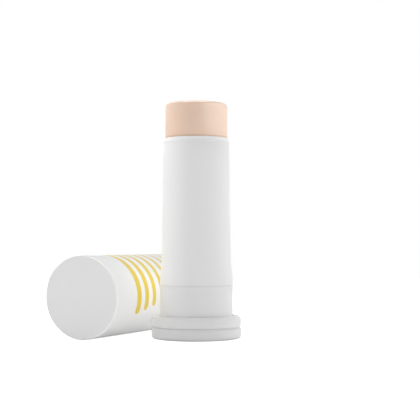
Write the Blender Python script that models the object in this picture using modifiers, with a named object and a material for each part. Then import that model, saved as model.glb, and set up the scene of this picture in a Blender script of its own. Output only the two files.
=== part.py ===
"""Twist-up sunscreen stick, standing open, with its cap taken off and laid beside it.

The stick's axis is Z and its foot stands on z = 0. The cap lies along Y, its closed end towards -Y.
Turning the knob at the foot turns a centre screw, and the elevator on the screw lifts the bar.
All lengths are in metres and all angles in radians.
"""

import math

import bmesh
import bpy

OBJECT_NAME = "sunscreen_stick"

# Bar of product
BAR_RADIUS = 0.01035
BAR_EXPOSED = 0.0112
BAR_EDGE_ROUND = 0.0008
BAR_CROWN = 0.0003
BAR_CLEARANCE = 0.00015

# Barrel
LIP_WALL = 0.00025
LIP_ROUND = 0.0001
LIP_HEIGHT = 0.0011
BODY_WALL = 0.0005
BODY_DRAFT = 0.0006
BARREL_HEIGHT = 0.0496
FLARE_TOP_RISE = 0.0107
FLARE_HEIGHT = 0.0043
TAIL_WALL = 0.0009
TAIL_GAP = 0.0008
BARREL_EDGE = 0.00015
RIB_WIDTH = 0.0012
RIB_RISE = 0.0008
RIB_EMBED = 0.0003
RIB_CLEARANCE = 0.0003

# Shoulder collar
SOCKET_GAP = 0.00015
SEAM_GAP = 0.0001
SNAP_RISE = 0.00025
SNAP_LIFT = 0.003
NECK_WALL = 0.00065
NECK_HEIGHT = 0.0098
FLANGE_HEIGHT = 0.00375
FLANGE_TOP_ROUND = 0.0003
FLANGE_FOOT_ROUND = 0.0008
POCKET_WALL = 0.0013
POCKET_DEPTH = 0.002
BEARING_WALL = 0.003
SEAT_FLOOR = 0.00205

# Turn knob and the plug pressed into it
KNOB_HEIGHT = 0.00375
KNOB_TOP_ROUND = 0.0002
KNOB_FOOT_ROUND = 0.001
RING_GAP = 0.0003
PLUG_RADIUS = 0.011
PLUG_THICKNESS = 0.0012
PLUG_EDGE = 0.0002
PLUG_GAP = 0.00015
PLUG_HEADROOM = 0.0003

# Spindle and its brake ring
SCREW_CORE_RADIUS = 0.0026
THREAD_RISE = 0.0008
SCREW_LEAD = 0.004
SCREW_TOP_DEPTH = 0.0097
SCREW_TIP_ROUND = 0.0006
THREAD_RUNOUT = 0.0012
JOURNAL_RADIUS = 0.0039
JOURNAL_GAP = 0.00025
SHOULDER_LAND = 0.0006
SHOULDER_THICKNESS = 0.001
SHOULDER_GAP = 0.0003
DRIVE_STEP = 0.0004
DRIVE_GAP = 0.00015
RING_SECTION_RADIUS = 0.0007
RING_GROOVE_GAP = 0.00015

# Elevator
TURNS_UP = 7
TURNS_DOWN = 3.5
RIM_MARGIN = 0.0005
CUP_HEIGHT = 0.007
CUP_FLOOR = 0.0012
CUP_WALL = 0.0015
CUP_GAP = 0.00015
SKIRT_DROP = 0.0092
HUB_DROP = 0.0065
HUB_WALL = 0.0013
THREAD_CLEARANCE = 0.0003
SCREW_END_CLEARANCE = 0.0005
GROOVE_TOP_DEPTH = 0.0004

# Cap and its liner
NECK_GAP = 0.0002
LINER_WALL = 0.0006
LINER_INSET = 0.0008
LINER_TOP = 0.0008
LINER_GAP = 0.00015
GRIP_RISE = 0.0001
GRIP_LIFT = 0.003
SEAL_WALL = 0.0006
SEAL_GAP = 0.0001
SHELL_WALL = 0.00085
SHELL_END = 0.0012
CAP_SEAT_GAP = 0.0002
CAP_HEADROOM = 0.0086
CAP_END_ROUND = 0.0006
CAP_MOUTH_ROUND = 0.0002
FLANGE_STEP = 0.001
CAP_STANDOFF = 0.00117
CAP_REACH_FORWARD = 0.0237

# Mesh fineness
ROUND_STEPS = 48
SMALL_ROUND_STEPS = 24
DRIVE_SIDES = 6
THREAD_STEPS = 12
ARC_STEPS = 3
CHAMFER_STEPS = 1
FLARE_STEPS = 6
RING_SECTION_STEPS = 10
SHARP_ANGLE = math.radians(35)
OVERRUN = 0.001
MERGE_DISTANCE = 0.00001

# Radii, worked outwards from the bar
BORE_RADIUS = BAR_RADIUS + BAR_CLEARANCE
LIP_RADIUS = BORE_RADIUS + LIP_WALL
BODY_TOP_RADIUS = BORE_RADIUS + BODY_WALL
BODY_FOOT_RADIUS = BODY_TOP_RADIUS + BODY_DRAFT
TAIL_RADIUS = BORE_RADIUS + TAIL_WALL
SOCKET_RADIUS = TAIL_RADIUS + SOCKET_GAP
NECK_RADIUS = SOCKET_RADIUS + NECK_WALL
LINER_BORE_RADIUS = NECK_RADIUS + NECK_GAP
LINER_RADIUS = LINER_BORE_RADIUS + LINER_WALL
SHELL_BORE_RADIUS = LINER_RADIUS + LINER_GAP
CAP_RADIUS = SHELL_BORE_RADIUS + SHELL_WALL
FLANGE_RADIUS = CAP_RADIUS + FLANGE_STEP
RIB_TIP_RADIUS = BORE_RADIUS - RIB_RISE
GROOVE_RADIUS = RIB_TIP_RADIUS - RIB_CLEARANCE
GROOVE_WIDTH = RIB_WIDTH + 2 * RIB_CLEARANCE
THREAD_RADIUS = SCREW_CORE_RADIUS + THREAD_RISE
NUT_BORE_RADIUS = SCREW_CORE_RADIUS + THREAD_CLEARANCE
HUB_RADIUS = THREAD_RADIUS + THREAD_CLEARANCE + HUB_WALL
BEARING_RADIUS = JOURNAL_RADIUS + JOURNAL_GAP
RING_SEAT = 2 * (RING_SECTION_RADIUS + RING_GROOVE_GAP)
RING_SEAT_RADIUS = JOURNAL_RADIUS + RING_SEAT
SHOULDER_RADIUS = RING_SEAT_RADIUS + SHOULDER_LAND
DRIVE_RADIUS = JOURNAL_RADIUS - DRIVE_STEP
RECESS_RADIUS = PLUG_RADIUS + PLUG_GAP

# Heights above the floor, worked upwards from the foot
COLLAR_Z = KNOB_HEIGHT + RING_GAP
FLANGE_TOP_Z = COLLAR_Z + FLANGE_HEIGHT
NECK_TOP_Z = FLANGE_TOP_Z + NECK_HEIGHT
RIM_Z = NECK_TOP_Z + BARREL_HEIGHT
RECESS_TOP_Z = PLUG_THICKNESS + PLUG_HEADROOM
WEB_THICKNESS = SEAT_FLOOR + RING_SEAT - SHOULDER_GAP
WEB_TOP_Z = COLLAR_Z + WEB_THICKNESS
TAIL_FOOT_Z = WEB_TOP_Z + TAIL_GAP
SNAP_Z = TAIL_FOOT_Z + SNAP_LIFT
SHOULDER_Z = WEB_TOP_Z + SHOULDER_GAP
SCREW_TOP_Z = RIM_Z - SCREW_TOP_DEPTH
THREAD_START_Z = SHOULDER_Z + SHOULDER_THICKNESS + THREAD_RUNOUT
TRAVEL_UP = TURNS_UP * SCREW_LEAD
TRAVEL_DOWN = TURNS_DOWN * SCREW_LEAD
ELEVATOR_Z = RIM_Z - RIM_MARGIN - CUP_HEIGHT - TRAVEL_UP
GROOVE_TOP_Z = RIM_Z - GROOVE_TOP_DEPTH
RIB_TOP_Z = GROOVE_TOP_Z - TRAVEL_DOWN - RIB_CLEARANCE

# Depth of the barrel's rim in the closed cap, from the cap's mouth, and the cap's length
RIM_IN_CAP = RIM_Z - FLANGE_TOP_Z - CAP_SEAT_GAP
CAP_LENGTH = RIM_IN_CAP + CAP_HEADROOM

# Finishes, each a base colour and a roughness
WHITE_SHELL = ((0.86, 0.86, 0.85), 0.42)
WHITE_INSERT = ((0.80, 0.81, 0.82), 0.5)
PALE_ACETAL = ((0.74, 0.75, 0.74), 0.35)
DARK_RUBBER = ((0.03, 0.03, 0.03), 0.7)
PEACH_BALM = ((0.80, 0.58, 0.44), 0.55)


def clear_scene():
    for item in list(bpy.data.objects):
        bpy.data.objects.remove(item, do_unlink=True)


def new_collection(name):
    made = bpy.data.collections.new(name)
    bpy.context.scene.collection.children.link(made)
    return made


def new_material(name, finish):
    """A non-metallic material, as every piece of the stick is plastic, rubber or balm."""
    colour, roughness = finish
    made = bpy.data.materials.new(name)
    made.use_nodes = True
    shader = made.node_tree.nodes["Principled BSDF"]
    shader.inputs["Base Color"].default_value = (*colour, 1.0)
    shader.inputs["Roughness"].default_value = roughness
    shader.inputs["Metallic"].default_value = 0.0
    made.diffuse_color = (*colour, 1.0)
    return made


def new_empty(name, location):
    made = bpy.data.objects.new(name, None)
    made.location = location
    parts.objects.link(made)
    return made


def add_part(name, mesh, finish, parent, height=0.0):
    """An object for a finished mesh, set on its parent's axis at a height above the parent."""
    mesh.name = name
    mesh.shade_smooth()
    mesh.set_sharp_from_angle(angle=SHARP_ANGLE)
    made = bpy.data.objects.new(name, mesh)
    made.data.materials.append(new_material(name + "_finish", finish))
    made.parent = parent
    made.location = (0, 0, height)
    parts.objects.link(made)
    return made


def add_helper(name, mesh, partner):
    """A hidden object that is joined to a part or cut from it, placed as that part is."""
    made = bpy.data.objects.new(name, mesh)
    made.parent = partner.parent
    made.location = partner.location
    made.hide_render = True
    made.display_type = "WIRE"
    cutters.objects.link(made)
    return made


def add_boolean(target, helper, operation):
    modifier = target.modifiers.new(helper.name, "BOOLEAN")
    modifier.operation = operation
    modifier.solver = "EXACT"
    modifier.object = helper


def evaluated_mesh(source):
    """The mesh that an object's modifiers or bevel give, and the object is removed."""
    bpy.context.scene.collection.objects.link(source)
    graph = bpy.context.evaluated_depsgraph_get()
    mesh = bpy.data.meshes.new_from_object(source.evaluated_get(graph))
    bpy.data.objects.remove(source, do_unlink=True)
    return mesh


def arc(centre_radius, centre_height, radius, start, end, steps):
    """Points of an arc in the profile plane, both ends included, at angles from +X."""
    turns = [start + (end - start) * step / steps for step in range(steps + 1)]
    return [
        (centre_radius + radius * math.cos(turn), centre_height + radius * math.sin(turn))
        for turn in turns
    ]


def top_corner(outer_radius, top, size, steps=ARC_STEPS):
    """Rounded outer corner at the top of a profile, run from the face to the side."""
    return arc(outer_radius - size, top - size, size, math.pi / 2, 0, steps)


def foot_corner(outer_radius, foot, size, steps=ARC_STEPS):
    """Rounded outer corner at the foot of a profile, run from the side to the face."""
    return arc(outer_radius - size, foot + size, size, 0, -math.pi / 2, steps)


def turned(profile, is_ring, steps=ROUND_STEPS):
    """A turned mesh. The profile runs down its outer side, and a ring's profile closes on itself."""
    outline = bpy.data.meshes.new("outline")
    last = len(profile) - 1
    edges = [(index, index + 1) for index in range(last)]
    if is_ring:
        edges.append((last, 0))
    outline.from_pydata([(radius, 0, height) for radius, height in profile], edges, [])
    source = bpy.data.objects.new("outline", outline)
    screw = source.modifiers.new("turn", "SCREW")
    screw.steps = steps
    screw.render_steps = steps
    screw.use_merge_vertices = True
    screw.merge_threshold = MERGE_DISTANCE
    return evaluated_mesh(source)


def prism(sides, radius, low, high):
    """An upright prism about Z, with a flat side facing +X."""
    mesh = bpy.data.meshes.new("prism")
    shape = bmesh.new()
    bmesh.ops.create_cone(
        shape,
        cap_ends=True,
        segments=sides,
        radius1=radius,
        radius2=radius,
        depth=high - low,
    )
    bmesh.ops.translate(shape, vec=(0, 0, (low + high) / 2), verts=shape.verts)
    shape.to_mesh(mesh)
    shape.free()
    return mesh


def key_pair(tip, back, width, low, high):
    """Two upright keys on opposite sides of the axis, each from its tip's radius out to its back's."""
    mesh = bpy.data.meshes.new("keys")
    shape = bmesh.new()
    for side in (1, -1):
        made = bmesh.ops.create_cube(shape, size=1)["verts"]
        bmesh.ops.scale(shape, vec=(back - tip, width, high - low), verts=made)
        bmesh.ops.translate(
            shape, vec=(side * (tip + back) / 2, 0, (low + high) / 2), verts=made
        )
    shape.to_mesh(mesh)
    shape.free()
    return mesh


def thread(section_radius, low, high, origin):
    """A left-handed helical ridge on the screw's core, from low to high, seen from a height as origin.

    Every thread is stepped from the same start, so the ridge and the nut's groove are in phase.
    """
    pitch_step = SCREW_LEAD / THREAD_STEPS
    first = math.floor((low - THREAD_START_Z) / pitch_step)
    last = math.ceil((high - THREAD_START_Z) / pitch_step)
    curve = bpy.data.curves.new("thread", "CURVE")
    curve.dimensions = "3D"
    curve.bevel_depth = section_radius
    curve.bevel_resolution = 1
    curve.use_fill_caps = True
    spline = curve.splines.new("POLY")
    spline.points.add(last - first)
    for index, point in enumerate(spline.points):
        turn = -2 * math.pi * (first + index) / THREAD_STEPS
        point.co = (
            SCREW_CORE_RADIUS * math.cos(turn),
            SCREW_CORE_RADIUS * math.sin(turn),
            THREAD_START_Z + (first + index) * pitch_step - origin,
            1,
        )
    mesh = evaluated_mesh(bpy.data.objects.new("thread", curve))
    shape = bmesh.new()
    shape.from_mesh(mesh)
    bmesh.ops.remove_doubles(shape, verts=shape.verts, dist=MERGE_DISTANCE)
    bmesh.ops.recalc_face_normals(shape, faces=shape.faces)
    shape.to_mesh(mesh)
    shape.free()
    return mesh


def make_turn_knob():
    """Lower ring: a disc with a recess for the plug and a hexagonal hole for the spindle."""
    profile = [(0, KNOB_HEIGHT)]
    profile += top_corner(FLANGE_RADIUS, KNOB_HEIGHT, KNOB_TOP_ROUND, CHAMFER_STEPS)
    profile += foot_corner(FLANGE_RADIUS, 0, KNOB_FOOT_ROUND)
    profile += [(RECESS_RADIUS, 0), (RECESS_RADIUS, RECESS_TOP_Z), (0, RECESS_TOP_Z)]
    knob = add_part("turn_knob", turned(profile, False), WHITE_SHELL, knob_axis)
    hole = prism(
        DRIVE_SIDES, DRIVE_RADIUS + DRIVE_GAP, RECESS_TOP_Z - OVERRUN, KNOB_HEIGHT + OVERRUN
    )
    add_boolean(knob, add_helper("drive_hole", hole, knob), "DIFFERENCE")


def make_base_plug():
    """Disc that closes the knob's recess, flush with the foot."""
    profile = [(0, PLUG_THICKNESS)]
    profile += top_corner(PLUG_RADIUS, PLUG_THICKNESS, PLUG_EDGE, CHAMFER_STEPS)
    profile += foot_corner(PLUG_RADIUS, 0, PLUG_EDGE, CHAMFER_STEPS)
    profile += [(0, 0)]
    add_part("base_plug", turned(profile, False), WHITE_SHELL, knob_axis)


def make_spindle():
    """Centre screw: hexagonal drive end, journal, shoulder and a long threaded core."""
    journal_foot = KNOB_HEIGHT + DRIVE_GAP - SHOULDER_Z
    tip = SCREW_TOP_Z - SHOULDER_Z
    profile = [(0, tip)]
    profile += top_corner(SCREW_CORE_RADIUS, tip, SCREW_TIP_ROUND, CHAMFER_STEPS)
    profile += [
        (SCREW_CORE_RADIUS, SHOULDER_THICKNESS),
        (SHOULDER_RADIUS, SHOULDER_THICKNESS),
        (SHOULDER_RADIUS, 0),
        (JOURNAL_RADIUS, 0),
        (JOURNAL_RADIUS, journal_foot),
        (0, journal_foot),
    ]
    core = turned(profile, False, SMALL_ROUND_STEPS)
    spindle = add_part("spindle", core, PALE_ACETAL, knob_axis, SHOULDER_Z)
    thread_top = SCREW_TOP_Z - THREAD_RUNOUT
    ridge = thread(THREAD_RISE, THREAD_START_Z, thread_top, SHOULDER_Z)
    add_boolean(spindle, add_helper("screw_ridge", ridge, spindle), "UNION")
    drive = prism(
        DRIVE_SIDES, DRIVE_RADIUS, RECESS_TOP_Z - SHOULDER_Z, journal_foot + JOURNAL_GAP
    )
    add_boolean(spindle, add_helper("drive_end", drive, spindle), "UNION")


def make_shoulder_collar():
    """Upper ring, web with the spindle's bearing, and the neck whose socket holds the barrel."""
    neck_top = NECK_TOP_Z - COLLAR_Z
    seat_floor = SEAT_FLOOR
    pocket_outer = FLANGE_RADIUS - POCKET_WALL
    pocket_inner = BEARING_RADIUS + BEARING_WALL
    groove_middle = SNAP_Z - COLLAR_Z
    groove_half = SNAP_RISE + SOCKET_GAP
    groove_radius = SOCKET_RADIUS + SNAP_RISE
    profile = top_corner(NECK_RADIUS, neck_top, BARREL_EDGE, CHAMFER_STEPS)
    profile += [(NECK_RADIUS, FLANGE_HEIGHT)]
    profile += top_corner(FLANGE_RADIUS, FLANGE_HEIGHT, FLANGE_TOP_ROUND)
    profile += foot_corner(FLANGE_RADIUS, 0, FLANGE_FOOT_ROUND)
    profile += [
        (pocket_outer, 0),
        (pocket_outer, POCKET_DEPTH),
        (pocket_inner, POCKET_DEPTH),
        (pocket_inner, 0),
        (BEARING_RADIUS, 0),
        (BEARING_RADIUS, seat_floor),
        (RING_SEAT_RADIUS, seat_floor),
        (RING_SEAT_RADIUS, WEB_THICKNESS),
        (SOCKET_RADIUS, WEB_THICKNESS),
        (SOCKET_RADIUS, groove_middle - groove_half - SNAP_RISE),
        (groove_radius, groove_middle - groove_half),
        (groove_radius, groove_middle + groove_half),
        (SOCKET_RADIUS, groove_middle + groove_half + SNAP_RISE),
        (SOCKET_RADIUS, neck_top),
    ]
    add_part("shoulder_collar", turned(profile, True), WHITE_SHELL, stick_axis, COLLAR_Z)


def flare(top_radius, top, foot_radius, height):
    """Points of a smooth S from a narrow top down to a wide foot, a cosine ease in radius."""
    points = []
    for step in range(FLARE_STEPS + 1):
        share = step / FLARE_STEPS
        ease = (1 - math.cos(math.pi * share)) / 2
        points.append((top_radius + (foot_radius - top_radius) * ease, top - height * share))
    return points


def make_barrel():
    """Tube with a thin lip, a slight draft, a flare to the neck's width, a tail and two guide ribs."""
    foot_z = NECK_TOP_Z + SEAM_GAP
    rim = RIM_Z - foot_z
    tail_foot = TAIL_FOOT_Z - foot_z
    bead = SNAP_Z - foot_z
    flare_top = FLARE_TOP_RISE - SEAM_GAP
    profile = top_corner(LIP_RADIUS, rim, LIP_ROUND, CHAMFER_STEPS)
    profile += top_corner(BODY_TOP_RADIUS, rim - LIP_HEIGHT, BARREL_EDGE, CHAMFER_STEPS)
    profile += flare(BODY_FOOT_RADIUS, flare_top, NECK_RADIUS, FLARE_HEIGHT)
    profile += foot_corner(NECK_RADIUS, 0, BARREL_EDGE, CHAMFER_STEPS)
    profile += [
        (TAIL_RADIUS, 0),
        (TAIL_RADIUS, bead + SNAP_RISE),
        (TAIL_RADIUS + SNAP_RISE, bead),
        (TAIL_RADIUS, bead - SNAP_RISE),
        (TAIL_RADIUS, tail_foot + SNAP_RISE),
        (TAIL_RADIUS - SNAP_RISE, tail_foot),
        (BORE_RADIUS, tail_foot),
        (BORE_RADIUS, rim),
    ]
    barrel = add_part("barrel", turned(profile, True), WHITE_SHELL, stick_axis, foot_z)
    ribs = key_pair(
        RIB_TIP_RADIUS, BORE_RADIUS + RIB_EMBED, RIB_WIDTH, tail_foot, RIB_TOP_Z - foot_z
    )
    add_boolean(barrel, add_helper("guide_ribs", ribs, barrel), "UNION")


def make_brake_ring():
    """O-ring round the journal, in the seat under the spindle's shoulder."""
    bpy.ops.mesh.primitive_torus_add(
        major_segments=SMALL_ROUND_STEPS,
        minor_segments=RING_SECTION_STEPS,
        major_radius=JOURNAL_RADIUS + RING_SEAT / 2,
        minor_radius=RING_SECTION_RADIUS,
    )
    source = bpy.context.object
    mesh = source.data.copy()
    bpy.data.objects.remove(source, do_unlink=True)
    middle = SHOULDER_Z - RING_SEAT / 2
    add_part("brake_ring", mesh, DARK_RUBBER, stick_axis, middle)


def make_elevator():
    """Cup for the bar's foot, a skirt that rides on the guide ribs and a hub with the nut thread."""
    cup_bore = BAR_RADIUS - CUP_WALL
    profile = [
        (BAR_RADIUS, CUP_HEIGHT),
        (BAR_RADIUS, -SKIRT_DROP),
        (cup_bore, -SKIRT_DROP),
        (cup_bore, 0),
        (HUB_RADIUS, 0),
        (HUB_RADIUS, -HUB_DROP),
        (NUT_BORE_RADIUS, -HUB_DROP),
        (NUT_BORE_RADIUS, CUP_FLOOR),
        (cup_bore, CUP_FLOOR),
        (cup_bore, CUP_HEIGHT),
    ]
    elevator = add_part("elevator", turned(profile, True), WHITE_INSERT, carriage)
    nut = thread(
        THREAD_RISE + THREAD_CLEARANCE,
        ELEVATOR_Z - HUB_DROP - OVERRUN,
        ELEVATOR_Z + CUP_FLOOR + OVERRUN,
        ELEVATOR_Z,
    )
    add_boolean(elevator, add_helper("nut_thread", nut, elevator), "DIFFERENCE")
    notches = key_pair(
        GROOVE_RADIUS,
        BORE_RADIUS + OVERRUN,
        GROOVE_WIDTH,
        -SKIRT_DROP - OVERRUN,
        CUP_HEIGHT + OVERRUN,
    )
    add_boolean(elevator, add_helper("elevator_notches", notches, elevator), "DIFFERENCE")


def make_sunscreen_bar():
    """Bar with a slightly crowned top, cast in the cup, round the screw and along the guide ribs."""
    top = RIM_Z + BAR_EXPOSED - ELEVATOR_Z
    foot = CUP_FLOOR + CUP_GAP
    foot_radius = BAR_RADIUS - CUP_WALL - CUP_GAP
    screw_bore = THREAD_RADIUS + THREAD_CLEARANCE
    bore_top = SCREW_TOP_Z + TRAVEL_DOWN + SCREW_END_CLEARANCE - ELEVATOR_Z
    crown_edge = BAR_RADIUS - BAR_EDGE_ROUND
    profile = [(0, top), (crown_edge / 2, top - BAR_CROWN / 4)]
    profile += top_corner(BAR_RADIUS, top - BAR_CROWN, BAR_EDGE_ROUND)
    profile += [
        (BAR_RADIUS, CUP_HEIGHT + CUP_GAP),
        (foot_radius, CUP_HEIGHT + CUP_GAP),
        (foot_radius, foot),
        (screw_bore, foot),
        (screw_bore, bore_top),
        (0, bore_top),
    ]
    bar = add_part("sunscreen_bar", turned(profile, False), PEACH_BALM, carriage)
    grooves = key_pair(
        GROOVE_RADIUS,
        BORE_RADIUS + OVERRUN,
        GROOVE_WIDTH,
        CUP_HEIGHT - OVERRUN,
        GROOVE_TOP_Z - ELEVATOR_Z,
    )
    add_boolean(bar, add_helper("bar_grooves", grooves, bar), "DIFFERENCE")


def make_cap_shell():
    """Outer shell of the cap, mouth at the bottom of its own frame and closed end at the top."""
    end_inside = CAP_LENGTH - SHELL_END
    profile = [(0, CAP_LENGTH)]
    profile += top_corner(CAP_RADIUS, CAP_LENGTH, CAP_END_ROUND)
    profile += foot_corner(CAP_RADIUS, 0, CAP_MOUTH_ROUND, CHAMFER_STEPS)
    profile += [(SHELL_BORE_RADIUS, 0), (SHELL_BORE_RADIUS, end_inside), (0, end_inside)]
    add_part("cap_shell", turned(profile, False), WHITE_SHELL, cap_axis)


def make_cap_liner():
    """Inner cup of the cap: a grip bead for the neck, and a skirt that closes the barrel's rim."""
    top = CAP_LENGTH - SHELL_END - LINER_GAP
    roof = top - LINER_TOP
    seal_tip = RIM_IN_CAP + SEAL_GAP
    seal_middle = (BORE_RADIUS + LIP_RADIUS) / 2
    seal_outer = seal_middle + SEAL_WALL / 2
    seal_inner = seal_middle - SEAL_WALL / 2
    profile = [
        (0, top),
        (LINER_RADIUS, top),
        (LINER_RADIUS, LINER_INSET),
        (LINER_BORE_RADIUS, LINER_INSET),
        (LINER_BORE_RADIUS, GRIP_LIFT - GRIP_RISE),
        (LINER_BORE_RADIUS - GRIP_RISE, GRIP_LIFT),
        (LINER_BORE_RADIUS, GRIP_LIFT + GRIP_RISE),
        (LINER_BORE_RADIUS, roof),
        (seal_outer, roof),
        (seal_outer, seal_tip),
        (seal_inner, seal_tip),
        (seal_inner, roof),
        (0, roof),
    ]
    add_part("cap_liner", turned(profile, False), WHITE_INSERT, cap_axis)


clear_scene()
parts = new_collection(OBJECT_NAME)
cutters = new_collection(OBJECT_NAME + "_cutters")

stick_axis = new_empty("stick_axis", (0, 0, 0))
knob_axis = new_empty("knob_axis", (0, 0, 0))
carriage = new_empty("carriage", (0, 0, ELEVATOR_Z))
cap_offset = -(FLANGE_RADIUS + CAP_RADIUS + CAP_STANDOFF)
cap_axis = new_empty("cap_axis", (cap_offset, CAP_LENGTH - CAP_REACH_FORWARD, CAP_RADIUS))
cap_axis.rotation_euler = (math.pi / 2, 0, 0)

make_turn_knob()
make_base_plug()
make_spindle()
make_shoulder_collar()
make_barrel()
make_brake_ring()
make_elevator()
make_sunscreen_bar()
make_cap_shell()
make_cap_liner()
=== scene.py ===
"""Finish of a twist-up sunscreen stick that stands open, with its cap lying beside it.

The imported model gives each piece's place. The pieces in view are worked out again here as fine
turned surfaces, and all pieces get their finish: satin white mouldings, peach balm, and print on
the cap. All lengths are in metres. The stick's axis is Z, and the cap lies along Y with its closed
end towards -Y.
"""

import math

import bpy
import numpy as np
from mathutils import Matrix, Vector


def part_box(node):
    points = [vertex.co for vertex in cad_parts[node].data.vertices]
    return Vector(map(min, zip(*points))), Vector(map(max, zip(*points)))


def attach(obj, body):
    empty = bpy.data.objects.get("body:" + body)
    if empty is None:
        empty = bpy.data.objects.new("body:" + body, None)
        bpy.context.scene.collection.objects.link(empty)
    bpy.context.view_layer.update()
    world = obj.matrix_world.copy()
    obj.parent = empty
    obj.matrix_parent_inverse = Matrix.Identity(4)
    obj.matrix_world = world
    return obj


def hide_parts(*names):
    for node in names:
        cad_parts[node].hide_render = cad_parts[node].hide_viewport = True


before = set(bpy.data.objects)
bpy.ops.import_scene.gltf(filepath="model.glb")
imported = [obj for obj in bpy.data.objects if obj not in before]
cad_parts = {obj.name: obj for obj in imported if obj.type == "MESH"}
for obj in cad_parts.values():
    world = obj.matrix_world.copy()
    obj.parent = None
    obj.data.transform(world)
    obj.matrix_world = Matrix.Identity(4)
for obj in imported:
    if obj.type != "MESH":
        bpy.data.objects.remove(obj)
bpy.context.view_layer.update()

# As the fitted camera shows them, the rim and the flange's faces stand a little lower than packed,
# and the cap is a little slimmer
RIM_SETBACK = 0.00068
FLANGE_SETBACK = 0.0002
CAP_SETBACK = 0.0002

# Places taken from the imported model
RIM_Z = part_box("barrel")[1].z - RIM_SETBACK
TAIL_FOOT_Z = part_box("barrel")[0].z
NECK_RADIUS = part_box("barrel")[1].x
NECK_TOP_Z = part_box("shoulder_collar")[1].z
COLLAR_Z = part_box("shoulder_collar")[0].z
FLANGE_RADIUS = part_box("shoulder_collar")[1].x
KNOB_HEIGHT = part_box("turn_knob")[1].z
PLUG_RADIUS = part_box("base_plug")[1].x
PLUG_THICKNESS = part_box("base_plug")[1].z
BAR_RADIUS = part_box("sunscreen_bar")[1].x
BAR_TOP_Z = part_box("sunscreen_bar")[1].z
BAR_FOOT_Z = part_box("sunscreen_bar")[0].z
CUP_TOP_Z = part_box("elevator")[1].z
CAP_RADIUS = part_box("cap_shell")[1].z / 2 - CAP_SETBACK
CAP_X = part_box("cap_shell")[0].x + CAP_RADIUS
CAP_MOUTH_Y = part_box("cap_shell")[1].y
CAP_LENGTH = CAP_MOUTH_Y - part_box("cap_shell")[0].y
LINER_RADIUS = (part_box("cap_liner")[1].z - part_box("cap_liner")[0].z) / 2
LINER_INSET = CAP_MOUTH_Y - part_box("cap_liner")[1].y
LINER_TOP = CAP_MOUTH_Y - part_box("cap_liner")[0].y

# Barrel
BORE_RADIUS = 0.0105
LIP_RADIUS = 0.0107
LIP_FOOT_RADIUS = 0.01086
LIP_ROUND = 0.00008
LIP_HEIGHT = 0.0011
BODY_TOP_RADIUS = 0.011
BODY_FOOT_RADIUS = 0.0116
SHOULDER_ROUND = 0.00018
WITNESS_DROP = 0.0006
WITNESS_DEPTH = 0.00003
WITNESS_WIDTH = 0.00012
FLARE_TOP_RISE = 0.0092
FLARE_HEIGHT = 0.0075
SEAM_GAP = 0.00004
SEAM_ROUND = 0.00005
TAIL_RADIUS = 0.0114
SNAP_RISE = 0.00025
SNAP_LIFT = 0.003
SNAP_PLAY = 0.00006
RIB_TIP_RADIUS = 0.0097
RIB_HALF_ANGLE = math.radians(3.4)
RIB_TOP_Z = 0.0523

# Shoulder collar
SOCKET_RADIUS = 0.01155
FLANGE_HEIGHT = 0.00375
FLANGE_TOP_ROUND = 0.0014
FLANGE_FOOT_ROUND = 0.0006
CREASE_ROUND = 0.0001
MOAT_WIDTH = 0.0004
MOAT_DEPTH = 0.0003
POCKET_OUTER_RADIUS = 0.0137
POCKET_INNER_RADIUS = 0.00715
POCKET_DEPTH = 0.002
BEARING_RADIUS = 0.00415
SEAT_FLOOR = 0.00205
SEAT_RADIUS = 0.0056
WEB_THICKNESS = 0.00345

# Turn knob and the plug pressed into it
KNOB_TOP_ROUND = 0.0004
KNOB_FOOT_ROUND = 0.001
LAND_FOOT_RADIUS = 0.0139
LAND_INSET = 0.00045
LAND_RISE = 0.00026
RECESS_RADIUS = 0.01115
RECESS_TOP_Z = 0.0015
DRIVE_HOLE_RADIUS = 0.00365
PLUG_EDGE_ROUND = 0.0002
PLUG_GROOVE_RADIUS = 0.0072
PLUG_GROOVE_WIDTH = 0.0006
PLUG_GROOVE_DEPTH = 0.0002
GATE_RADIUS = 0.0011
GATE_DEPTH = 0.00025

# Bar of balm
BAR_EDGE_WIDTH = 0.0016
BAR_EDGE_HEIGHT = 0.0013
BAR_CROWN = 0.00015
BAR_DIP = 0.00002
BAR_WAVES = ((3, 400.0), (5, -900.0))
BAR_FOOT_RADIUS = 0.0087
BAR_SCREW_RADIUS = 0.0037
BAR_SCREW_TOP_Z = 0.072
GROOVE_RADIUS = 0.0094
GROOVE_HALF_ANGLE = math.radians(5.2)
GROOVE_TOP_Z = 0.0665
CUP_GAP = 0.00015

# Cap and its liner
SHELL_BORE_RADIUS = 0.01315
SHELL_END = 0.0012
CAP_END_ROUND = 0.0006
CAP_MOUTH_ROUND = 0.0002
LINER_BORE_RADIUS = 0.0124
LINER_ROOF = 0.0008
GRIP_LIFT = 0.003
GRIP_RISE = 0.0001
SEAL_OUTER_RADIUS = 0.010925
SEAL_INNER_RADIUS = 0.010325
SEAL_TIP = 0.0593

# Mesh fineness: how many steps a turn, an arc or a length gets, and how near to a round a point
# holds the flat. A rib or groove has stepped back at RIB_STEP_SHARE of its half angle and counts up
# to RIB_EDGE_SHARE of it. An edge is sharp from SHARP_ANGLE on, and a radius below ON_AXIS is none
TURN_STEPS = 240
ARC_STEPS = 6
LONG_STEPS = 10
FLARE_STEPS = 16
NECK_STEPS = 4
BAR_CROWN_STEPS = 8
BAR_EDGE_STEPS = 14
BAR_SIDE_STEPS = 6
CAP_END_STEPS = 5
CAP_SIDE_STEPS = 12
HOLD = 0.00006
RIB_STEP_SHARE = 1.01
RIB_EDGE_SHARE = 1.001
SHARP_ANGLE = math.radians(32)
ON_AXIS = 1e-9

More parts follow.
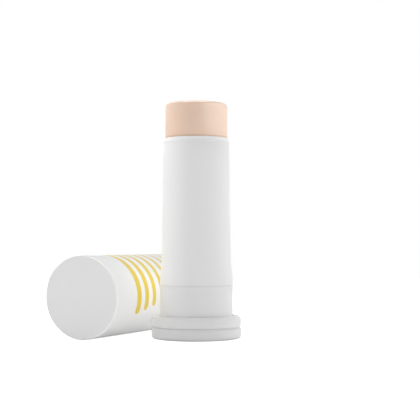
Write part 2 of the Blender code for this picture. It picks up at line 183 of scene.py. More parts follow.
# White mouldings: the two tones that each one's clouding runs between, and its roughness
BARREL_TONES = ((0.87, 0.87, 0.87), (0.86, 0.86, 0.86))
# The collar, knob and cap are the barrel's white set darker as painted shade, the knob darkest,
# near the floor
COLLAR_SHADED_TONES = ((0.84, 0.84, 0.84), (0.83, 0.83, 0.83))
KNOB_SHADED_TONES = ((0.82, 0.82, 0.82), (0.81, 0.81, 0.81))
CAP_SHADED_TONES = ((0.85, 0.85, 0.85), (0.84, 0.84, 0.84))
INSERT_TONES = ((0.80, 0.805, 0.81), (0.78, 0.785, 0.79))
SATIN_ROUGHNESS = 0.50
INSERT_ROUGHNESS = 0.45
MOULDING_IOR = 1.49

# The lip's paler tone than the body's is painted light, for the light that its thin wall lets
# through
LIP_PAINTED_LIGHT_TONE = (0.94, 0.94, 0.94)
LIP_EDGE = 0.00008

# Grain of the mouldings: scales per metre, swings of the roughness, shares in the bump's height,
# and that height in metres. The details say how many finer layers a noise has
SOFT_DETAIL = 1.0
MID_DETAIL = 2.0
FINE_DETAIL = 3.0
CLOUD_SCALE = 70.0
CLOUD_SWING = 0.03
SCUFF_SCALE = 900.0
SCUFF_SWING = 0.05
SPARK_SCALE = 5200.0
SPARK_SHARE = 0.35
WAVE_SCALE = 260.0
INK_SHARE = 0.8
MOULDING_BUMP = 0.000012

# Balm, given in the same way. Light sinks into it by its depth, red furthest. It is smooth near
# its top and duller towards the rim, and a darker ring of painted shade lies on it at the lip
BALM_TONES = ((0.873, 0.656, 0.521), (0.842, 0.623, 0.486))
# The specks and the painted shade ring share this darker tone
BALM_SPECK_AND_SHADE_TONE = (0.62, 0.40, 0.26)
MOTTLE_SCALE = 330.0
MOTTLE_SWING = 0.10
MOTTLE_SHARE = 0.4
SPECK_SCALE = 5200.0
SPECK_START = 0.62
SPECK_GAIN = 12.0
SPECK_SHARE = 0.16
DRAG_SCALE = 1500.0
DRAG_STRETCH = (1.0, 1.0, 0.03)
DRAG_SWING = 0.05
DRAG_SHARE = 0.6
BALM_BUMP = 0.00003
BALM_IOR = 1.44
BALM_DEPTH_WEIGHT = 0.12
BALM_DEPTH_COLOURS = (1.0, 0.55, 0.35)
BALM_DEPTH = 0.0012
BALM_ROUGHNESS = 0.44
DULL_ROUGHNESS = 0.16
SMOOTH_Z = 0.0765
DULL_SPAN = 0.0095
# The painted shade ring: its height each side of the rim, and how dark it gets
RIM_SHADE_HEIGHT = 0.0007
RIM_SHADE_SHARE = 0.85

# Acetal of the screw and rubber of the ring
ACETAL_TONES = ((0.74, 0.75, 0.73), (0.70, 0.71, 0.69))
ACETAL_ROUGHNESS = 0.30
STREAK_SCALE = 1800.0
STREAK_STRETCH = (1.0, 1.0, 0.08)
STREAK_SWING = 0.10
ACETAL_BUMP = 0.00001
ACETAL_IOR = 1.48
RUBBER_TONES = ((0.020, 0.020, 0.021), (0.045, 0.045, 0.046))
RUBBER_ROUGHNESS = 0.62
BLOOM_SCALE = 2400.0
BLOOM_SWING = 0.12
RUBBER_BUMP = 0.00002

# Camera, fitted to the photograph
CAMERA_PLACE = (0.15488, -0.32246, 0.03168)
CAMERA_LOOK = (-0.42148, 0.90684)
CAMERA_LENS = 91.70
CAMERA_SENSOR = 36.0
CAMERA_SHIFT = 0.0788
CAMERA_NEAR = 0.01

# Print on the cap: lengths run round it from its top, more to +X, and from its mouth
STRIPE_COUNT = 8
STRIPES_START = 0.0559
STRIPE_PITCH = 0.0053
STRIPE_WIDTH = 0.0029
STRIPE_THINNING = 0.00025
STRIPE_FIRST_ENDS = (math.radians(-30), math.radians(115))
STRIPE_END_STEPS = (math.radians(-6), math.radians(-5))
SPOT_ANGLE = math.radians(-96)
SPOT_DISTANCE = 0.0125
SPOT_RADIUS = 0.0046
DASH_DISTANCES = (0.0575, 0.0549, 0.0523)
DASH_LENGTHS = (0.0098, 0.0070, 0.0042)
DASH_WIDTH = 0.0012
INK_EDGE = 0.00004
INK_ROUGHNESS = 0.30
YELLOW_INK = (0.76, 0.57, 0.05)
PEACH_INK = (0.80, 0.60, 0.44)
BLACK_INK = (0.022, 0.022, 0.024)

# Floor: half its side, its own white, the light that it adds for the camera alone, and from which
# distance and over which length it runs to plain white
WHITE = (1.0, 1.0, 1.0)
FLOOR_HALF = 3.0
FLOOR_WHITE = (0.93, 0.93, 0.93)
FLOOR_GLOW = 0.70
FLOOR_NEAR = 0.20
FLOOR_FADE = 0.4

# Lamps: how far each is right of, behind and above the stick, its size and its power in watts. All
# face one place on the stick. The light of the passing lamp goes through the cap, the cap's lamps
# light the cap alone, and each sheen names the piece in whose gloss alone it shows
LAMP_AIM = (0.0, 0.0, 0.03)
PASSING_LAMPS = {
    "front_left_lamp": (-1.1, -0.9, 0.6, 1.1, 7.2),
}
LAMPS = {
    "top_lamp": (0.0, 0.2, 1.5, 1.1, 4.2),
    "high_back_lamp": (0.0, 0.9, 1.2, 1.1, 9.3),
    "high_left_lamp": (-1.2, 0.1, 1.1, 1.1, 4.2),
    "back_left_lamp": (-1.3, 0.5, 0.7, 1.1, 9.0),
    "back_right_lamp": (1.1, 0.9, 0.6, 1.1, 5.8),
    "right_lamp": (1.4, 0.0, 0.6, 1.1, 5.1),
    "low_right_lamp": (1.3, -0.4, 0.2, 0.5, 2.9),
    "low_front_lamp": (0.6, -1.2, 0.2, 0.5, 3.0),
}
CAP_LAMPS = {
    "back_left_lamp": (-1.3, 0.5, 0.7, 1.1, 10.0),
    "top_lamp": (0.0, 0.2, 1.5, 1.1, 10.5),
    "low_front_lamp": (0.0, -1.4, 0.2, 0.5, 1.0),
    "low_right_lamp": (0.6, -1.2, 0.2, 0.5, 10.0),
}
SHEENS = {
    "right_sheen": ("bar_skin", 1.4, 0.0, 0.6, 1.1, 17.0),
    "front_right_sheen": ("bar_skin", 1.1, -0.9, 0.6, 1.1, 27.0),
    "back_right_sheen": ("bar_skin", 1.1, 0.9, 0.6, 1.1, 4.5),
    "top_sheen": ("bar_skin", 0.0, 0.2, 1.5, 1.1, 30.0),
    "cap_sheen": ("shell_skin", 0.0, 0.2, 1.5, 1.1, 35.0),
}


class Value:
    """A number that varies over a surface. Sums and products of it add their Math nodes."""

    def __init__(self, finish, socket):
        self.finish = finish
        self.socket = socket

    def math(self, operation, *values):
        return self.finish.node("ShaderNodeMath", {"operation": operation}, dict(enumerate(values)))

    def __add__(self, other):
        return self.math("ADD", self, other)

    def __radd__(self, other):
        return self.math("ADD", other, self)

    def __sub__(self, other):
        return self.math("SUBTRACT", self, other)

    def __rsub__(self, other):
        return self.math("SUBTRACT", other, self)

    def __mul__(self, other):
        return self.math("MULTIPLY", self, other)

    def __rmul__(self, other):
        return self.math("MULTIPLY", other, self)

    def __truediv__(self, other):
        return self.math("DIVIDE", self, other)

    def __abs__(self):
        return self.math("ABSOLUTE", self)

    def __pow__(self, other):
        return self.math("POWER", self, other)

    def clamped(self):
        """The value held between 0 and 1."""
        return self.finish.node("ShaderNodeClamp", {}, {0: self})

    def floored(self):
        return self.math("FLOOR", self)

    def angle_from(self, other):
        """The angle whose tangent is this value over another one, in radians."""
        return self.math("ARCTAN2", self, other)

    def at_least(self, other):
        return self.math("MAXIMUM", self, other)

    def at_most(self, other):
        return self.math("MINIMUM", self, other)


class Finish:
    """A material or world whose nodes are added one by one with a single method."""

    def __init__(self, owner):
        owner.use_nodes = True
        self.owner = owner
        self.tree = owner.node_tree
        self.tree.nodes.clear()

    def node(self, kind, settings=None, values=None, output=0):
        """A node of a kind: its settings first, then its sockets' values or links."""
        made = self.tree.nodes.new(kind)
        for name, setting in (settings or {}).items():
            setattr(made, name, setting)
        for key, value in (values or {}).items():
            if isinstance(value, Value):
                self.tree.links.new(value.socket, made.inputs[key])
            else:
                made.inputs[key].default_value = value
        return Value(self, made.outputs[output]) if made.outputs else None

    def place(self):
        """Place on the piece in metres, in the model's own frame."""
        return self.node("ShaderNodeTexCoord", output="Object")

    def parts(self, vector):
        """The three numbers of a vector."""
        made = self.tree.nodes.new("ShaderNodeSeparateXYZ")
        self.tree.links.new(vector.socket, made.inputs[0])
        return [Value(self, made.outputs[k]) for k in range(3)]

    def noise(self, scale, detail=MID_DETAIL, stretch=(1.0, 1.0, 1.0)):
        """Cloudy noise from 0 to 1 of a scale per metre, stretched along each axis."""
        where = self.node(
            "ShaderNodeVectorMath", {"operation": "MULTIPLY"}, {0: self.place(), 1: stretch}
        )
        return self.node(
            "ShaderNodeTexNoise", {}, {"Vector": where, "Scale": scale, "Detail": detail}
        )

    def mix(self, share, first, second):
        """A colour between two, by a share from 0 to 1."""
        return self.node(
            "ShaderNodeMix",
            {"data_type": "RGBA"},
            {0: share, 6: first, 7: second},
            output=2,
        )

    def surface(self, **sockets):
        """The finished surface, with its colour, roughness, bump and so on by socket name."""
        values = {name.replace("_", " "): value for name, value in sockets.items()}
        shader = self.node("ShaderNodeBsdfPrincipled", {}, values)
        self.node("ShaderNodeOutputMaterial", {}, {0: shader})
        return self.owner

    def bump(self, height, distance, strength=1.0):
        """A bumped normal from a height from 0 to 1 that stands for a distance in metres."""
        return self.node(
            "ShaderNodeBump", {}, {"Height": height, "Distance": distance, "Strength": strength}
        )


def rgb(tone):
    """A tone with full cover, as colour sockets take it."""
    return (*tone, 1.0)


def new_finish(name):
    return Finish(bpy.data.materials.new(name))


def pill(along, across, half_length, half_width):
    """Mask of a round-ended mark: 1 where its middle line is nearer than its half width."""
    past = (abs(along) - (half_length - half_width)).at_least(0.0)
    distance = (past * past + across * across) ** 0.5
    return ((half_width - distance) / INK_EDGE + 0.5).clamped()


def on_cap(finish):
    """Length round the cap from its top, more to +X, and distance from its mouth."""
    across, along, up = finish.parts(finish.place())
    around = (across - CAP_X).angle_from(up - CAP_RADIUS) * CAP_RADIUS
    return around, CAP_MOUTH_Y - along


def stripes(finish):
    """Stripes that run partly round the cap, each thinner than the last towards the mouth.

    The number of whole pitches from the start gives a stripe's width, and its two ends keep to
    slanted lines.
    """
    around, from_mouth = on_cap(finish)
    steps = (STRIPES_START - from_mouth) / STRIPE_PITCH
    number = steps.floored().at_least(0.0).at_most(STRIPE_COUNT - 1.0)
    first, last = (
        (number * step + end) * CAP_RADIUS for end, step in zip(STRIPE_FIRST_ENDS, STRIPE_END_STEPS)
    )
    half_width = (STRIPE_WIDTH - number * STRIPE_THINNING) * 0.5
    across = (steps - number - 0.5) * STRIPE_PITCH
    return pill(around - (first + last) * 0.5, across, (last - first) * 0.5, half_width)


def spot(finish):
    """Round spot near the mouth, on the far side from the stripes."""
    around, from_mouth = on_cap(finish)
    along = around - SPOT_ANGLE * CAP_RADIUS
    return pill(along, from_mouth - SPOT_DISTANCE, SPOT_RADIUS, SPOT_RADIUS)


def dashes(finish):
    """Three short dashes near the closed end, each shorter than the last."""
    around, from_mouth = on_cap(finish)
    mask = 0.0
    for distance, length in zip(DASH_DISTANCES, DASH_LENGTHS):
        along = around - SPOT_ANGLE * CAP_RADIUS + (DASH_LENGTHS[0] - length) / 2
        mask = pill(along, from_mouth - distance, length / 2, DASH_WIDTH / 2) + mask
    return mask.clamped()


def painted_light_lip(finish):
    """Mask of the painted light on the barrel's thin lip: 1 above its shoulder."""
    return ((finish.parts(finish.place())[2] - (RIM_Z - LIP_HEIGHT)) / LIP_EDGE + 0.5).clamped()


def moulded_white(name, tones, roughness, painted_light_walls=(), prints=()):
    """Satin white moulded plastic: faint clouding, fine spark-eroded grain and shallow waviness.

    Each painted-light wall is a thin wall's mask and the paler tone painted on it as painted light.
    Each print is a mask and its ink, which lies on the plastic as a thin, smoother film.
    """
    finish = new_finish(name)
    cloud = finish.noise(CLOUD_SCALE)
    spark = finish.noise(SPARK_SCALE, FINE_DETAIL)
    wave = finish.noise(WAVE_SCALE, SOFT_DETAIL)
    scuff = finish.noise(SCUFF_SCALE)
    rough = roughness + SCUFF_SWING * (scuff - 0.5) + CLOUD_SWING * (cloud - 0.5)
    colour = finish.mix(cloud, *map(rgb, tones))
    height = spark * SPARK_SHARE + wave
    # Each wall's paler tone is painted light, laid over the plastic's colour
    for mask_of, tone in painted_light_walls:
        colour = finish.mix(mask_of(finish), colour, rgb(tone))
    for mask_of, ink in prints:
        mask = mask_of(finish)
        colour = finish.mix(mask, colour, rgb(ink))
        rough = rough + (INK_ROUGHNESS - rough) * mask
        height = height + mask * INK_SHARE
    return finish.surface(
        Base_Color=colour,
        Roughness=rough,
        Normal=finish.bump(height, MOULDING_BUMP),
        IOR=MOULDING_IOR,
    )


def balm(name):
    """Peach balm: pressed mineral base with faint mottling, fine specks and drag marks along Z.

    It gets duller from SMOOTH_Z down over DULL_SPAN. The painted shade ring, where the bar meets
    the lip, is strongest at the rim and fades out over its height above and below.
    """
    finish = new_finish(name)
    mottle = finish.noise(MOTTLE_SCALE, FINE_DETAIL)
    specks = ((finish.noise(SPECK_SCALE) - SPECK_START) * SPECK_GAIN).clamped()
    drag = finish.noise(DRAG_SCALE, stretch=DRAG_STRETCH)
    height = finish.parts(finish.place())[2]
    dull = ((SMOOTH_Z - height) / DULL_SPAN).clamped()
    # Painted shade: a darker ring where the bar meets the lip, strongest at the rim
    ring = (1.0 - abs(height - RIM_Z) / RIM_SHADE_HEIGHT).clamped() * RIM_SHADE_SHARE
    # The darker tone covers the real specks and the painted shade ring
    marks = (specks * SPECK_SHARE + ring).clamped()
    body = finish.mix(mottle, *map(rgb, BALM_TONES))
    rough = BALM_ROUGHNESS + DULL_ROUGHNESS * dull
    rough = rough + MOTTLE_SWING * (mottle - 0.5) + DRAG_SWING * (drag - 0.5)
    return finish.surface(
        Base_Color=finish.mix(marks, body, rgb(BALM_SPECK_AND_SHADE_TONE)),
        Roughness=rough,
        Normal=finish.bump(drag * DRAG_SHARE + mottle * MOTTLE_SHARE, BALM_BUMP),
        IOR=BALM_IOR,
        Subsurface_Weight=BALM_DEPTH_WEIGHT,
        Subsurface_Radius=BALM_DEPTH_COLOURS,
        Subsurface_Scale=BALM_DEPTH,
    )


def acetal(name):
    """Off-white acetal of the screw, smooth, with faint turning along its length."""
    finish = new_finish(name)
    streak = finish.noise(STREAK_SCALE, stretch=STREAK_STRETCH)
    return finish.surface(
        Base_Color=finish.mix(streak, *map(rgb, ACETAL_TONES)),
        Roughness=ACETAL_ROUGHNESS + STREAK_SWING * (streak - 0.5),
        Normal=finish.bump(streak, ACETAL_BUMP),
        IOR=ACETAL_IOR,
    )


def rubber(name):
    """Black nitrile rubber, dull, with a fine bloom."""
    finish = new_finish(name)
    bloom = finish.noise(BLOOM_SCALE, FINE_DETAIL)
    return finish.surface(
        Base_Color=finish.mix(bloom, *map(rgb, RUBBER_TONES)),
        Roughness=RUBBER_ROUGHNESS + BLOOM_SWING * (bloom - 0.5),
        Normal=finish.bump(bloom, RUBBER_BUMP),
    )


def rounded(corners):
    """Profile through corners given as (radius, height, round).

    A corner with a round is cut back along both its sides by round / tan(half its angle), and an
    arc of that round joins the cuts. The arc runs from its first to its last point by equal turns.
    One point a little way along each side holds the shading of the flat.
    """
    place = np.array([corner[:2] for corner in corners], float)
    count = len(corners)
    points = []
    for index in range(count):
        size = corners[index][2] if len(corners[index]) > 2 else 0.0
        here = place[index]
        if size == 0.0:
            points.append(here[None])
            continue
        before = place[index - 1] - here
        after = place[(index + 1) % count] - here
        back = before / np.hypot(*before)
        ahead = after / np.hypot(*after)
        half = math.acos(np.clip(back @ ahead, -1, 1)) / 2
        reach = size / math.tan(half)
        middle = here + (back + ahead) / np.hypot(*(back + ahead)) * size / math.sin(half)
        turn = math.pi - 2 * half
        share = np.linspace(0, 1, ARC_STEPS + 1)[:, None]
        first = here + back * reach - middle
        last = here + ahead * reach - middle
        arc = (np.sin((1 - share) * turn) * first + np.sin(share * turn) * last) / math.sin(turn)
        hold = min(HOLD, (np.hypot(*before) - reach) / 3, (np.hypot(*after) - reach) / 3)
        points.append((here + back * (reach + hold))[None])
        points.append(middle + arc)
        points.append((here + ahead * (reach + hold))[None])
    return np.concatenate(points)


def between(first, last, steps=LONG_STEPS):
    """Evenly spaced points from a first point towards a last one, without the last."""
    share = np.linspace(0, 1, steps, endpoint=False)[:, None]
    run = np.array(first) + (np.array(last) - np.array(first)) * share
    return [tuple(point) for point in run]


def even_angles():
    return np.arange(TURN_STEPS) * 2 * math.pi / TURN_STEPS


def ribbed_angles(half_angle):
    """Angles all round, with two more at each side of the rib on +X and of the one on -X."""
    side = half_angle * np.array([-RIB_STEP_SHARE, -1, 1, RIB_STEP_SHARE])
    sides = np.concatenate((side, side + math.pi)) % (2 * math.pi)
    return np.unique(np.concatenate((even_angles(), sides)))


def from_rib(angle):
    """Angle from the middle of the nearer rib."""
    return abs((angle + math.pi / 2) % math.pi - math.pi / 2)


def turned(profile, closed=False, angles=None, radius_at=None):
    """Surface of a profile turned about Z.

    Point (i, j) is (r cos a, r sin a, h), where r and h are the radius and height of point i of the
    profile and a is angle j. radius_at changes r as a function of the grids of r, h and a. The
    profile runs down its outer side, so the faces point outwards. An end on the axis is one point.
    """
    if angles is None:
        angles = even_angles()
    rows, columns = len(profile), len(angles)
    radius = np.repeat(profile[:, :1], columns, 1)
    height = np.repeat(profile[:, 1:], columns, 1)
    angle = np.repeat(angles[None], rows, 0)
    if radius_at is not None:
        radius = radius_at(radius, height, angle)
    points = np.stack((radius * np.cos(angle), radius * np.sin(angle), height), 2).reshape(-1, 3)
    index = np.arange(rows * columns).reshape(rows, columns)
    on_axis = profile[:, 0] < ON_AXIS
    index[on_axis] = index[on_axis][:, :1]
    below = np.roll(index, -1, 0) if closed else index[1:]
    above = index if closed else index[:-1]
    quads = np.stack(
        (above, below, np.roll(below, -1, 1), np.roll(above, -1, 1)), 2
    ).reshape(-1, 4)
    return points, quads


def make_piece(name, body, nodes, shape, finish):
    """A mesh object of a worked-out shape that stands for its nodes and rides on their body.

    Only the points in use are kept, and a quad with two corners on a pole becomes a triangle.
    """
    points, quads = shape
    first_pole = quads[:, 0] == quads[:, 3]
    last_pole = quads[:, 1] == quads[:, 2]
    groups = (
        quads[~(first_pole | last_pole)],
        quads[first_pole & ~last_pole][:, [0, 1, 2]],
        quads[last_pole & ~first_pole][:, [0, 1, 3]],
    )
    used = np.unique(np.concatenate([group.ravel() for group in groups]))
    renumber = np.zeros(len(points), int)
    renumber[used] = np.arange(len(used))
    faces = sum((renumber[group].tolist() for group in groups), [])
    mesh = bpy.data.meshes.new(name)
    mesh.from_pydata(points[used].tolist(), [], faces)
    mesh.shade_smooth()
    mesh.set_sharp_from_angle(angle=SHARP_ANGLE)
    mesh.materials.append(finish)
    piece = bpy.data.objects.new(name, mesh)
    bpy.context.scene.collection.objects.link(piece)
    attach(piece, body)
    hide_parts(*nodes)


def laid_down(shape):
    """A shape whose mouth is at 0 and whose closed end is up, turned about X onto its side."""
    points, quads = shape
    across, up, along = points.T
    return np.stack((CAP_X + across, CAP_MOUTH_Y - along, CAP_RADIUS + up), 1), quads


def barrel_shape():
    """Lip, slightly drafted body, cosine flare to the neck's width, tail with a snap bead, ribs.

    In the flare the radius is the body's plus the rise times (1 - cos(pi s)) / 2, where s runs from
    0 to 1. Inside, the bore's radius drops to the rib's tip / cos(angle from the rib) over a small
    angle about +X and -X.
    """
    foot = NECK_TOP_Z + SEAM_GAP
    flare_top = NECK_TOP_Z + FLARE_TOP_RISE
    shoulder = RIM_Z - LIP_HEIGHT
    witness = shoulder - WITNESS_DROP
    share = np.linspace(0, 1, FLARE_STEPS + 1)
    ease = (1 - np.cos(math.pi * share)) / 2
    flare = zip(
        BODY_FOOT_RADIUS + (NECK_RADIUS - BODY_FOOT_RADIUS) * ease, flare_top - FLARE_HEIGHT * share
    )
    corners = [
        (LIP_RADIUS, RIM_Z, LIP_ROUND),
        (LIP_FOOT_RADIUS, shoulder),
        (BODY_TOP_RADIUS, shoulder, SHOULDER_ROUND),
        (BODY_TOP_RADIUS, witness),
        (BODY_TOP_RADIUS - WITNESS_DEPTH, witness - WITNESS_WIDTH / 2),
        (BODY_TOP_RADIUS, witness - WITNESS_WIDTH),
    ]
    corners += between(corners[-1], (BODY_FOOT_RADIUS, flare_top))[1:]
    corners += list(flare)
    bead = TAIL_FOOT_Z + SNAP_LIFT
    corners += [
        (NECK_RADIUS, foot, SEAM_ROUND),
        (TAIL_RADIUS, foot),
        (TAIL_RADIUS, bead + SNAP_RISE),
        (TAIL_RADIUS + SNAP_RISE, bead),
        (TAIL_RADIUS, bead - SNAP_RISE),
        (TAIL_RADIUS, TAIL_FOOT_Z + SNAP_RISE),
        (TAIL_RADIUS - SNAP_RISE, TAIL_FOOT_Z),
        (BORE_RADIUS, TAIL_FOOT_Z),
        (BORE_RADIUS, RIB_TOP_Z),
        (BORE_RADIUS, RIB_TOP_Z + HOLD),
        (BORE_RADIUS, RIM_Z, LIP_ROUND),
    ]

    def ribbed(radius, height, angle):
        in_bore = (abs(radius - BORE_RADIUS) < HOLD / 2) & (height < RIB_TOP_Z + HOLD / 2)
        on_rib = from_rib(angle) <= RIB_HALF_ANGLE * RIB_EDGE_SHARE
        return np.where(in_bore & on_rib, RIB_TIP_RADIUS / np.cos(from_rib(angle)), radius)

    return turned(rounded(corners), True, ribbed_angles(RIB_HALF_ANGLE), ribbed)


def collar_shape():
    """Neck with a fine moat round its foot, round-edged flange, web with the screw's seat."""
    flange_foot = COLLAR_Z - FLANGE_SETBACK
    flange_top = flange_foot + FLANGE_HEIGHT
    web_top = COLLAR_Z + WEB_THICKNESS
    groove = TAIL_FOOT_Z + SNAP_LIFT
    groove_half = SNAP_RISE + SNAP_PLAY
    groove_radius = SOCKET_RADIUS + SNAP_RISE
    corners = [(NECK_RADIUS, NECK_TOP_Z, SEAM_ROUND)]
    corners += between(corners[0][:2], (NECK_RADIUS, flange_top), NECK_STEPS)[1:]
    corners += [
        (NECK_RADIUS, flange_top - MOAT_DEPTH),
        (NECK_RADIUS + MOAT_WIDTH, flange_top - MOAT_DEPTH),
        (NECK_RADIUS + MOAT_WIDTH, flange_top, CREASE_ROUND),
        (FLANGE_RADIUS, flange_top, FLANGE_TOP_ROUND),
        (FLANGE_RADIUS, flange_foot, FLANGE_FOOT_ROUND),
        (POCKET_OUTER_RADIUS, flange_foot),
        (POCKET_OUTER_RADIUS, COLLAR_Z + POCKET_DEPTH),
        (POCKET_INNER_RADIUS, COLLAR_Z + POCKET_DEPTH),
        (POCKET_INNER_RADIUS, COLLAR_Z),
        (BEARING_RADIUS, COLLAR_Z),
        (BEARING_RADIUS, COLLAR_Z + SEAT_FLOOR),
        (SEAT_RADIUS, COLLAR_Z + SEAT_FLOOR),
        (SEAT_RADIUS, web_top),
        (SOCKET_RADIUS, web_top),
        (SOCKET_RADIUS, groove - groove_half - SNAP_RISE),
        (groove_radius, groove - groove_half),
        (groove_radius, groove + groove_half),
        (SOCKET_RADIUS, groove + groove_half + SNAP_RISE),
        (SOCKET_RADIUS, NECK_TOP_Z),
    ]
    return turned(rounded(corners), True)


def knob_shape():
    """Lower ring, whose raised land all but meets the flange, with a hexagonal hole.

    In the hole the radius is the flat's distance / cos(angle from the flat's middle).
    """
    land = FLANGE_RADIUS - LAND_INSET
    ring_top = KNOB_HEIGHT - FLANGE_SETBACK
    corners = [
        (DRIVE_HOLE_RADIUS, KNOB_HEIGHT),
        (LAND_FOOT_RADIUS, KNOB_HEIGHT),
        (LAND_FOOT_RADIUS, ring_top + LAND_RISE),
        (land, ring_top + LAND_RISE),
        (land, ring_top),
        (FLANGE_RADIUS, ring_top, KNOB_TOP_ROUND),
        (FLANGE_RADIUS, 0, KNOB_FOOT_ROUND),
        (RECESS_RADIUS, 0),
        (RECESS_RADIUS, RECESS_TOP_Z),
        (DRIVE_HOLE_RADIUS, RECESS_TOP_Z),
    ]
    sixth = math.pi / 3
    flat = DRIVE_HOLE_RADIUS * math.cos(sixth / 2)

    def hexed(radius, height, angle):
        from_flat = (angle + sixth / 2) % sixth - sixth / 2
        return np.where(abs(radius - DRIVE_HOLE_RADIUS) < HOLD, flat / np.cos(from_flat), radius)

    return turned(rounded(corners), True, None, hexed)


def plug_shape():
    """Disc that closes the knob's recess, with a shallow ring and the dimple of its gate below."""
    outer = PLUG_GROOVE_RADIUS + PLUG_GROOVE_WIDTH
    corners = [
        (0, PLUG_THICKNESS),
        (PLUG_RADIUS, PLUG_THICKNESS, PLUG_EDGE_ROUND),
        (PLUG_RADIUS, 0, PLUG_EDGE_ROUND),
        (outer, 0),
        (outer - PLUG_GROOVE_DEPTH, PLUG_GROOVE_DEPTH),
        (PLUG_GROOVE_RADIUS + PLUG_GROOVE_DEPTH, PLUG_GROOVE_DEPTH),
        (PLUG_GROOVE_RADIUS, 0),
        (GATE_RADIUS, 0),
        (GATE_RADIUS - GATE_DEPTH, GATE_DEPTH),
        (0, GATE_DEPTH),
    ]
    return turned(rounded(corners))


def bar_shape():
    """Bar with a crowned top: its height falls by the crown times (radius / reach) squared.

    From the reach a quarter ellipse, reach + width sin(t) by its height cos(t), leads to the side.
    The side dips by up to BAR_DIP, by a sum of sines of the angle and the height, and has a groove
    for each guide rib up to just below the rim.
    """
    reach = BAR_RADIUS - BAR_EDGE_WIDTH
    edge_foot = BAR_TOP_Z - BAR_CROWN - BAR_EDGE_HEIGHT
    crown = np.linspace(0, reach, BAR_CROWN_STEPS, endpoint=False)
    turn = np.linspace(0, math.pi / 2, BAR_EDGE_STEPS + 1)
    edge = zip(reach + BAR_EDGE_WIDTH * np.sin(turn), edge_foot + BAR_EDGE_HEIGHT * np.cos(turn))
    corners = [(radius, BAR_TOP_Z - BAR_CROWN * (radius / reach) ** 2) for radius in crown]
    corners += edge
    corners += between((BAR_RADIUS, edge_foot), (BAR_RADIUS, GROOVE_TOP_Z), BAR_SIDE_STEPS)[1:]
    corners += [
        (BAR_RADIUS, GROOVE_TOP_Z),
        (BAR_RADIUS, GROOVE_TOP_Z - HOLD),
        (BAR_RADIUS, CUP_TOP_Z + CUP_GAP),
        (BAR_FOOT_RADIUS, CUP_TOP_Z + CUP_GAP),
        (BAR_FOOT_RADIUS, BAR_FOOT_Z),
        (BAR_SCREW_RADIUS, BAR_FOOT_Z),
        (BAR_SCREW_RADIUS, BAR_SCREW_TOP_Z),
        (0, BAR_SCREW_TOP_Z),
    ]

    def grooved(radius, height, angle):
        on_side = (radius > BAR_FOOT_RADIUS + HOLD) & (height < GROOVE_TOP_Z - HOLD / 2)
        in_groove = from_rib(angle) <= GROOVE_HALF_ANGLE * RIB_EDGE_SHARE
        floor = GROOVE_RADIUS / np.cos(from_rib(angle))
        waves = [np.sin(turns * angle + rise * height) for turns, rise in BAR_WAVES]
        dip = BAR_DIP * (1 + sum(waves) / len(waves)) / 2
        return np.where(on_side & in_groove, floor, radius - dip * (radius > reach))

    return turned(rounded(corners), False, ribbed_angles(GROOVE_HALF_ANGLE), grooved)


def shell_shape():
    """Outer cup of the cap, its profile open at 0 and closed at its length, laid on its side."""
    inside = CAP_LENGTH - SHELL_END
    corners = between((0, CAP_LENGTH), (CAP_RADIUS, CAP_LENGTH), CAP_END_STEPS)
    corners += [(CAP_RADIUS, CAP_LENGTH, CAP_END_ROUND)]
    corners += between((CAP_RADIUS, CAP_LENGTH), (CAP_RADIUS, 0), CAP_SIDE_STEPS)[1:]
    corners += [
        (CAP_RADIUS, 0, CAP_MOUTH_ROUND),
        (SHELL_BORE_RADIUS, 0, CAP_MOUTH_ROUND),
        (SHELL_BORE_RADIUS, inside),
        (0, inside),
    ]
    return laid_down(turned(rounded(corners)))


def liner_shape():
    """Inner cup with a grip bead near its mouth and a seal skirt under its roof, on its side."""
    roof = LINER_TOP - LINER_ROOF
    corners = [
        (0, LINER_TOP),
        (LINER_RADIUS, LINER_TOP, GRIP_RISE),
        (LINER_RADIUS, LINER_INSET, GRIP_RISE),
        (LINER_BORE_RADIUS, LINER_INSET, GRIP_RISE),
        (LINER_BORE_RADIUS, GRIP_LIFT - GRIP_RISE),
        (LINER_BORE_RADIUS - GRIP_RISE, GRIP_LIFT),
        (LINER_BORE_RADIUS, GRIP_LIFT + GRIP_RISE),
        (LINER_BORE_RADIUS, roof),
        (SEAL_OUTER_RADIUS, roof),
        (SEAL_OUTER_RADIUS, SEAL_TIP, GRIP_RISE),
        (SEAL_INNER_RADIUS, SEAL_TIP, GRIP_RISE),
        (SEAL_INNER_RADIUS, roof),
        (0, roof),
    ]
    return laid_down(turned(rounded(corners)))


